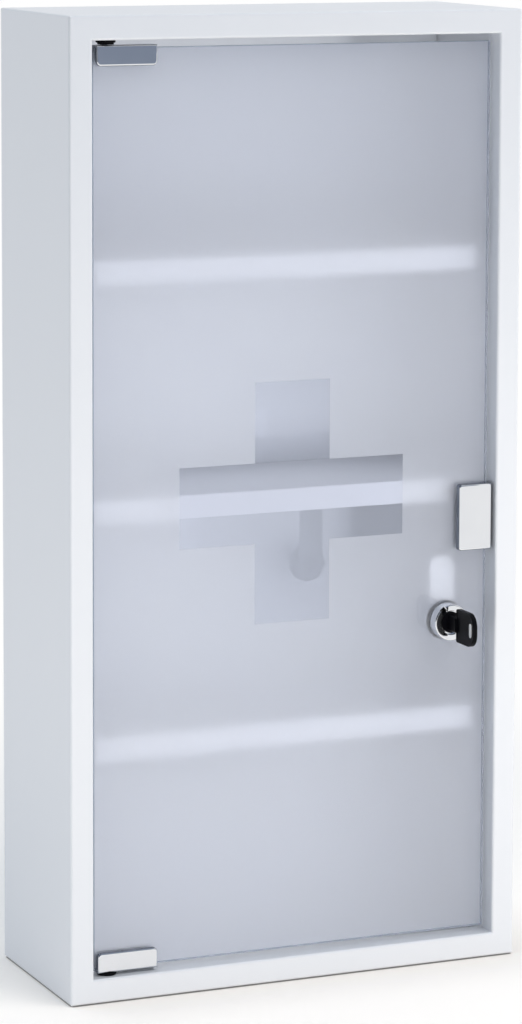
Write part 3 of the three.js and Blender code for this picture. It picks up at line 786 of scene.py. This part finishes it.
class CABINET_OT_hinges(bpy.types.Operator):
    """Makes the two clamp hinges and their bushes, and finishes their pins, liners and screws"""

    bl_idname = "cabinet.hinges"
    bl_label = "Hinges"

    def clamp(self, end):
        f = settings().fitting
        low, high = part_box(f"{end}_hinge_clamp")
        toward = 1 if end == "upper" else -1
        closed, free = (high.z, low.z) if toward > 0 else (low.z, high.z)
        inner = closed - toward * f.hinge_web
        section = [
            (low.y, free),
            (low.y + f.hinge_plate, free),
            (low.y + f.hinge_plate, inner),
            (high.y - f.hinge_leg, inner),
            (high.y - f.hinge_leg, free),
            (high.y, free),
            (high.y, closed),
            (low.y, closed),
        ]
        bm = prism([(low.x, y, z) for y, z in section], (high.x - low.x, 0, 0))
        round_edges(
            bm, lambda a, b: lies_along(1, a, b) and near(a.z, free), f.hinge_corner, segments=8
        )
        round_edges(
            bm,
            lambda a, b: near(a.y, b.y) and (near(a.y, low.y) or near(a.y, high.y)),
            f.hinge_rim,
        )
        clamp = as_object(f"{end}_hinge", bm)
        leg = (high.y - f.hinge_leg - OVERCUT / 2, high.y + OVERCUT)
        for screw in ("inner", "outer"):
            drill(clamp, "y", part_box(f"{end}_hinge_{screw}_screw"), SCREW_PLAY, *leg)
        web = sorted((inner - toward * OVERCUT / 2, closed + toward * OVERCUT))
        drill(clamp, "z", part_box(f"{end}_pivot_pin"), FIT_PLAY, *web)
        finished_piece(clamp, finish("chrome_plate"), "door", "chrome", f"{end}_hinge_clamp")
        # The hinge's walls get the painted dark reflection
        paint(clamp, finish("smoked_plate"), is_wall)

    def bush(self, end):
        f = settings().fitting
        low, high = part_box(f"{end}_pivot_bush")
        middle = (low + high) / 2
        toward = 1 if end == "upper" else -1
        flange_end, shank_end = (low.z, high.z) if toward > 0 else (high.z, low.z)
        shoulder = flange_end + toward * f.bush_flange
        bore, shank = f.bush_bore / 2, f.bush_shank / 2
        flange = (high.x - low.x) / 2
        collar, collar_end = f.bush_collar / 2, flange_end - toward * f.bush_reach
        profile = [
            (bore, collar_end),
            (collar, collar_end),
            (collar, flange_end),
            (flange, flange_end),
            (flange, shoulder),
            (shank, shoulder),
            (shank, shank_end),
            (bore, shank_end),
        ]
        bm = turned("z", middle, profile, steps=64)
        past_collar = (collar + flange) / 2

        def at_rim(a, b):
            away = min((a - middle).xy.length, (b - middle).xy.length)
            return near(a.z, b.z) and away > past_collar

        round_edges(bm, at_rim, BUSH_ROUND, segments=3)
        bush = as_object(f"{end}_bush", bm)
        finished_piece(
            bush, finish("black_moulding"), "cabinet", "black_plastic", f"{end}_pivot_bush"
        )

    def execute(self, context):
        for end in ("upper", "lower"):
            self.clamp(end)
            self.bush(end)
            dress(finish("clear_liner"), f"{end}_hinge_front_pad", f"{end}_hinge_rear_pad")
            dress(
                finish("zinc_plate"),
                f"{end}_pivot_pin",
                f"{end}_hinge_inner_screw",
                f"{end}_hinge_outer_screw",
            )
        return {"FINISHED"}


class CABINET_OT_handle(bpy.types.Operator):
    """Makes the clip handle, and finishes its liners and screw"""

    bl_idname = "cabinet.handle"
    bl_label = "Handle"

    def execute(self, context):
        f = settings().fitting
        low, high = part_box("handle_clip")
        section = [
            (low.x, low.y),
            (high.x, low.y),
            (high.x, high.y),
            (low.x, high.y),
            (low.x, high.y - f.handle_wall),
            (high.x - f.handle_wall, high.y - f.handle_wall),
            (high.x - f.handle_wall, low.y + f.handle_plate),
            (low.x, low.y + f.handle_plate),
        ]
        bm = prism([(x, y, low.z) for x, y in section], (0, 0, high.z - low.z))
        round_edges(
            bm, lambda a, b: lies_along(1, a, b) and near(a.x, low.x), f.handle_corner, segments=6
        )
        round_edges(bm, lambda a, b: near(a.y, b.y) and near(a.y, low.y), f.handle_rim)
        round_edges(
            bm, lambda a, b: near(a.y, b.y) and near(a.y, high.y), f.handle_rim / 2, segments=3
        )
        handle = as_object("handle", bm)
        leg = (high.y - f.handle_wall - OVERCUT / 2, high.y + OVERCUT)
        drill(handle, "y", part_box("handle_screw"), SCREW_PLAY, *leg)
        finished_piece(handle, finish("chrome_plate"), "door", "chrome", "handle_clip")
        # The handle's walls get the painted dark reflection
        paint(handle, finish("smoked_plate"), is_wall)
        dress(finish("clear_liner"), "handle_front_pad", "handle_rear_pad")
        dress(finish("zinc_plate"), "handle_screw")
        return {"FINISHED"}


class CABINET_OT_lock(bpy.types.Operator):
    """Makes the lock's bezel and plug cap, and finishes the pieces behind the glass"""

    bl_idname = "cabinet.lock"
    bl_label = "Cam lock"

    def execute(self, context):
        f = settings().fitting
        low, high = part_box("lock_body")
        middle = (low + high) / 2
        gasket_low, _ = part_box("lock_gasket")
        bezel_back = gasket_low.y - FIT_PLAY
        bezel = (high.x - low.x) / 2
        recess, bore, barrel = f.bezel_recess / 2, f.bore / 2, f.barrel / 2
        floor = low.y + f.bezel_depth
        profile = [
            (recess, low.y),
            (bezel, low.y),
            (bezel, bezel_back),
            (barrel, bezel_back),
            (barrel, high.y),
            (bore, high.y),
            (bore, floor),
            (recess, floor),
        ]
        bm = turned("y", middle, profile)

        def radius_of(place):
            return math.hypot(place.x - middle.x, place.z - middle.z)

        def front_rim(a, b):
            return near(a.y, low.y) and near(b.y, low.y) and radius_of(a) > recess + MM

        def recess_rim(a, b):
            return near(a.y, low.y) and near(b.y, low.y) and near(radius_of(a), recess)

        round_edges(bm, front_rim, f.bezel_rim)
        round_edges(bm, recess_rim, SMALL_ROUND, segments=3)
        body = as_object("lock_bezel", bm)
        slot = box(
            (-2 * bezel, low.y - OVERCUT, -f.slot_width / 2),
            (2 * bezel, low.y + f.slot_depth, f.slot_width / 2),
        )
        bmesh.ops.rotate(
            slot, verts=slot.verts[:], cent=(0, 0, 0), matrix=Matrix.Rotation(-f.slot_turn, 3, "Y")
        )
        bmesh.ops.translate(slot, verts=slot.verts[:], vec=(middle.x, 0, middle.z))
        combine(body, slot, "DIFFERENCE")
        finished_piece(body, finish("chrome_plate"), "door", "chrome", "lock_body")

        cap_low, cap_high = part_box("plug_cap")
        disc = rod((cap_high.x - cap_low.x) / 2, cap_low.y, cap_high.y)
        bm = turned("y", middle, disc)
        round_edges(
            bm, lambda a, b: near(a.y, cap_low.y) and near(b.y, cap_low.y), SMALL_ROUND, segments=3
        )
        cap = as_object("plug_face", bm)
        keyway = box(
            (-f.keyway_width / 2, cap_low.y - OVERCUT, -f.keyway_height / 2),
            (f.keyway_width / 2, cap_high.y + OVERCUT, f.keyway_height / 2),
        )
        bmesh.ops.translate(keyway, verts=keyway.verts[:], vec=(middle.x, 0, middle.z))
        combine(cap, keyway, "DIFFERENCE")
        finished_piece(cap, finish("black_moulding"), "lock_plug", "black_plastic", "plug_cap")

        dress(finish("clear_liner"), "lock_gasket")
        dress(finish("black_moulding"), "lock_washer")
        dress(finish("zinc_plate"), "lock_nut", "lock_plug", "cam_washer", "cam_screw")
        dress(finish("satin_plate"), "lock_cam")
        return {"FINISHED"}


class CABINET_OT_key(bpy.types.Operator):
    """Makes the moulded key head, and finishes its blade"""

    bl_idname = "cabinet.key"
    bl_label = "Key"

    def execute(self, context):
        k = settings().key
        low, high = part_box("key_head")
        blade_low, blade_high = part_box("key_blade")
        lock_low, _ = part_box("lock_body")
        middle = (low + high) / 2
        start = lock_low.y - k.reach
        half = k.thickness / 2
        corners = [(low.y, low.z), (start, low.z), (start, high.z), (low.y, high.z)]
        bm = prism([(middle.x - half, y, z) for y, z in corners], (k.thickness, 0, 0))
        for place, radius in ((low.y, k.corner), (start, k.heel)):
            round_edges(
                bm, lambda a, b: lies_along(0, a, b) and near(a.y, place), radius, segments=10
            )
        bm.normal_update()
        faces = [face for face in bm.faces if abs(face.normal.x) > FACING]
        for face in faces:
            bmesh.ops.inset_region(
                bm, faces=[face], thickness=k.panel, depth=-k.sunk, use_even_offset=True
            )
        sides = (middle.x - half, middle.x + half)
        round_edges(
            bm,
            lambda a, b: near(a.x, b.x) and (near(a.x, sides[0]) or near(a.x, sides[1])),
            k.rim / 2,
            segments=3,
        )
        head = as_object("key_grip", bm)
        neck_end = high.y
        neck = box(
            (middle.x - k.neck_width / 2, start - k.heel, middle.z - k.neck_height / 2),
            (middle.x + k.neck_width / 2, neck_end, middle.z + k.neck_height / 2),
        )
        round_edges(neck, lambda a, b: lies_along(1, a, b), k.neck_corner, segments=5)
        combine(head, neck, "UNION")
        eye = low.y + k.eye_inset
        hole = box(
            (low.x - OVERCUT, eye - k.eye_width / 2, middle.z - k.eye_height / 2),
            (high.x + OVERCUT, eye + k.eye_width / 2, middle.z + k.eye_height / 2),
        )
        just_under_half = 0.49
        round_edges(
            hole, lambda a, b: lies_along(0, a, b), just_under_half * k.eye_width, segments=8
        )
        combine(head, hole, "DIFFERENCE")
        pocket = box(
            (blade_low.x - FIT_PLAY, blade_low.y - FIT_PLAY, blade_low.z - FIT_PLAY),
            (blade_high.x + FIT_PLAY, neck_end + OVERCUT, blade_high.z + FIT_PLAY),
        )
        combine(head, pocket, "DIFFERENCE")
        finished_piece(head, finish("black_moulding"), "key", "black_plastic", "key_head")

        def in_eye(face):
            along = abs(face.center.y - eye) < k.eye_width / 2 + FIT_PLAY
            upright = abs(face.center.z - middle.z) < k.eye_height / 2 + FIT_PLAY
            return along and upright and abs(face.normal.x) < EDGE_ON

        paint(head, finish("zinc_plate"), in_eye)
        dress(finish("zinc_plate"), "key_blade")
        return {"FINISHED"}


class CABINET_OT_studio(bpy.types.Operator):
    """Sets up the floor, light and camera"""

    bl_idname = "cabinet.studio"
    bl_label = "Studio"

    def seen(self, tree):
        """1 for the rays that show the background: straight, mirrored and through glass."""
        ray = add_node(tree, "ShaderNodeLightPath")
        direct = calculate(
            tree, "MAXIMUM", ray.outputs["Is Camera Ray"], ray.outputs["Is Glossy Ray"]
        )
        return calculate(tree, "MAXIMUM", direct, ray.outputs["Is Transmission Ray"])

    def world(self, s):
        world = bpy.data.worlds.new("studio")
        world.use_nodes = True
        tree = world.node_tree
        tree.nodes.clear()
        light = add_node(
            tree, "ShaderNodeBackground", {"Color": rgba(s.sky), "Strength": s.sky_level}
        )
        white = add_node(tree, "ShaderNodeBackground", {"Color": WHITE, "Strength": 1.0})
        mixed = mix_shaders(tree, self.seen(tree), light, white)
        add_node(tree, "ShaderNodeOutputWorld", {"Surface": mixed.outputs[0]})
        bpy.context.scene.world = world

    def openness(self, tree, **inputs):
        """Share of the view from a point of the floor that nothing near blocks."""
        node = add_node(tree, "ShaderNodeAmbientOcclusion", inputs, samples=FLOOR_RAYS)
        return node.outputs["AO"]

    def contact(self, tree, s):
        """Share of light left on the floor: little under the base, and a soft shade round it."""
        upward = self.openness(tree, Distance=s.contact_reach)
        under = remap(
            tree,
            upward,
            {"From Min": OPEN_UNDER, "From Max": OPEN_BESIDE, "To Min": s.contact_dark},
        )
        beside = remap(tree, upward, {"From Min": OPEN_BESIDE, "To Min": s.contact_shade})
        upright = add_node(tree, "ShaderNodeNewGeometry").outputs["Normal"]
        leaning = add_node(
            tree, "ShaderNodeVectorMath", {0: upright, 1: s.front_lean}, operation="ADD"
        )
        unit = add_node(
            tree, "ShaderNodeVectorMath", {0: leaning.outputs[0]}, operation="NORMALIZE"
        )
        backward = self.openness(tree, Distance=s.front_reach, Normal=unit.outputs[0])
        in_front = remap(tree, backward, {"To Min": s.front_shade})
        near_base = calculate(tree, "MULTIPLY", under, beside)
        return calculate(tree, "MULTIPLY", near_base, in_front)

    def floor(self, s):
        """A floor with the shadows of the cabinet, which turns white further off."""
        bm = bmesh.new()
        bmesh.ops.create_circle(bm, cap_ends=True, radius=s.floor_radius, segments=96)
        bmesh.ops.translate(bm, verts=bm.verts[:], vec=(0, 0, -s.floor_drop))
        floor = as_object("floor", bm)
        material, tree = new_material("studio_floor")
        distance = add_node(
            tree, "ShaderNodeVectorMath", {0: object_place(tree)}, operation="LENGTH"
        )
        far = remap(
            tree,
            distance.outputs["Value"],
            {"From Min": s.floor_near, "From Max": s.floor_far},
            interpolation_type="SMOOTHSTEP",
        )
        paper = add_node(
            tree,
            "ShaderNodeBsdfPrincipled",
            {
                "Base Color": rgba(s.floor),
                "Roughness": FLOOR_ROUGHNESS,
                "Specular IOR Level": FLOOR_SPECULAR,
            },
        )
        seen = self.seen(tree)
        lift = calculate(tree, "MULTIPLY", seen, s.floor_lift)
        glow = add_node(tree, "ShaderNodeEmission", {"Color": WHITE, "Strength": lift})
        lifted = add_node(tree, "ShaderNodeAddShader", {0: paper.outputs[0], 1: glow.outputs[0]})
        unlit = add_node(tree, "ShaderNodeEmission", {"Strength": 0.0})
        shaded = mix_shaders(tree, self.contact(tree, s), unlit, lifted)
        white = add_node(tree, "ShaderNodeEmission", {"Color": WHITE, "Strength": 1.0})
        show(tree, mix_shaders(tree, calculate(tree, "MULTIPLY", far, seen), shaded, white))
        floor.data.materials.append(material)

    def curtain(self, s):
        """A dark curtain round the front and left, seen only in mirrors and gloss."""
        bm = bmesh.new()
        start = Matrix.Rotation(s.curtain_start, 3, "Z")
        profile = (
            (s.curtain_radius, 0),
            (s.curtain_radius, s.curtain_top),
            (s.curtain_mouth, s.curtain_roof),
        )
        foot, eave, mouth = [bm.verts.new(start @ Vector((0, -out, up))) for out, up in profile]
        edges = [bm.edges.new((foot, eave)), bm.edges.new((eave, mouth))]
        bmesh.ops.spin(
            bm,
            geom=[foot, eave, mouth, *edges],
            cent=(0, 0, 0),
            axis=(0, 0, 1),
            angle=s.curtain_end - s.curtain_start,
            steps=64,
        )
        curtain = as_object("curtain", bm)
        material, tree = new_material("studio_curtain")
        place = add_node(tree, "ShaderNodeSeparateXYZ", {0: object_place(tree)})
        across = remap(
            tree,
            place.outputs["X"],
            {"From Min": -s.curtain_radius / 2, "From Max": s.curtain_turn},
            interpolation_type="SMOOTHSTEP",
        )
        up = remap(
            tree,
            place.outputs["Z"],
            {"From Max": s.curtain_fade},
            interpolation_type="SMOOTHSTEP",
        )
        cloth = blend(tree, across, rgba(s.curtain_left), rgba(s.curtain_right))
        faded = blend(tree, up, WHITE, cloth)
        show(tree, add_node(tree, "ShaderNodeEmission", {"Color": faded, "Strength": 1.0}))
        curtain.data.materials.append(material)
        curtain.visible_camera = False
        curtain.visible_diffuse = False
        curtain.visible_transmission = False
        curtain.visible_shadow = False

    def lamp(self, name, power, size, place, target, tint):
        data = bpy.data.lights.new(name, "AREA")
        data.shape = "RECTANGLE"
        data.size, data.size_y = size
        data.energy = power
        data.color = tint
        lamp = bpy.data.objects.new(name, data)
        lamp.location = place
        lamp.rotation_euler = (Vector(target) - Vector(place)).to_track_quat("-Z", "Y").to_euler()
        lamp.visible_glossy = False
        lamp.visible_transmission = False
        bpy.context.scene.collection.objects.link(lamp)

    def camera(self, s):
        data = bpy.data.cameras.new("camera")
        data.lens = s.lens
        data.shift_y = s.shift
        camera = bpy.data.objects.new("camera", data)
        camera.location = s.camera
        turn = Matrix.Rotation(-s.turn, 3, "Z")
        tilt = Matrix.Rotation(math.pi / 2 - s.tilt, 3, "X")
        roll = Matrix.Rotation(s.roll, 3, "Z")
        camera.rotation_euler = (turn @ tilt @ roll).to_euler()
        bpy.context.scene.collection.objects.link(camera)
        bpy.context.scene.camera = camera

    def execute(self, context):
        s = settings().studio
        context.scene.view_settings.view_transform = "Standard"
        self.world(s)
        self.floor(s)
        self.curtain(s)
        overhead = (s.key_size, s.key_size)
        self.lamp("key", s.key_power, overhead, s.key_place, s.key_target, s.key_tint)
        strip = (s.fill_size, s.fill_height)
        self.lamp("fill", s.fill_power, strip, s.fill_place, s.fill_target, s.fill_tint)
        small = (s.wash_size, s.wash_height)
        self.lamp("wash", s.wash_power, small, s.wash_place, s.wash_target, s.wash_tint)
        self.camera(s)
        return {"FINISHED"}


class CABINET_PT_parts(bpy.types.Panel):
    """Lists the operators and settings"""

    bl_idname = "CABINET_PT_parts"
    bl_label = "Medicine cabinet"
    bl_space_type = "VIEW_3D"
    bl_region_type = "UI"
    bl_category = "Cabinet"

    def draw(self, context):
        for operator in OPERATORS:
            self.layout.operator(operator.bl_idname)
        for group in CabinetSettings.__annotations__:
            part = getattr(settings(), group)
            area = self.layout.box()
            area.label(text=group.capitalize())
            for name in part.__annotations__:
                area.prop(part, name)


GROUPS = (
    FinishSettings,
    GlassSettings,
    FittingSettings,
    KeySettings,
    StudioSettings,
    CabinetSettings,
)
OPERATORS = (
    CABINET_OT_carcass,
    CABINET_OT_glass_door,
    CABINET_OT_hinges,
    CABINET_OT_handle,
    CABINET_OT_lock,
    CABINET_OT_key,
    CABINET_OT_studio,
)
CLASSES = (*GROUPS, *OPERATORS, CABINET_PT_parts)


def register():
    for kind in CLASSES:
        bpy.utils.register_class(kind)
    bpy.types.Scene.medicine_cabinet = PointerProperty(type=CabinetSettings)


def unregister():
    del bpy.types.Scene.medicine_cabinet
    for kind in reversed(CLASSES):
        bpy.utils.unregister_class(kind)


def main():
    register()
    bpy.ops.cabinet.carcass()
    bpy.ops.cabinet.glass_door()
    bpy.ops.cabinet.hinges()
    bpy.ops.cabinet.handle()
    bpy.ops.cabinet.lock()
    bpy.ops.cabinet.key()
    bpy.ops.cabinet.studio()


if __name__ == "__main__":
    main()
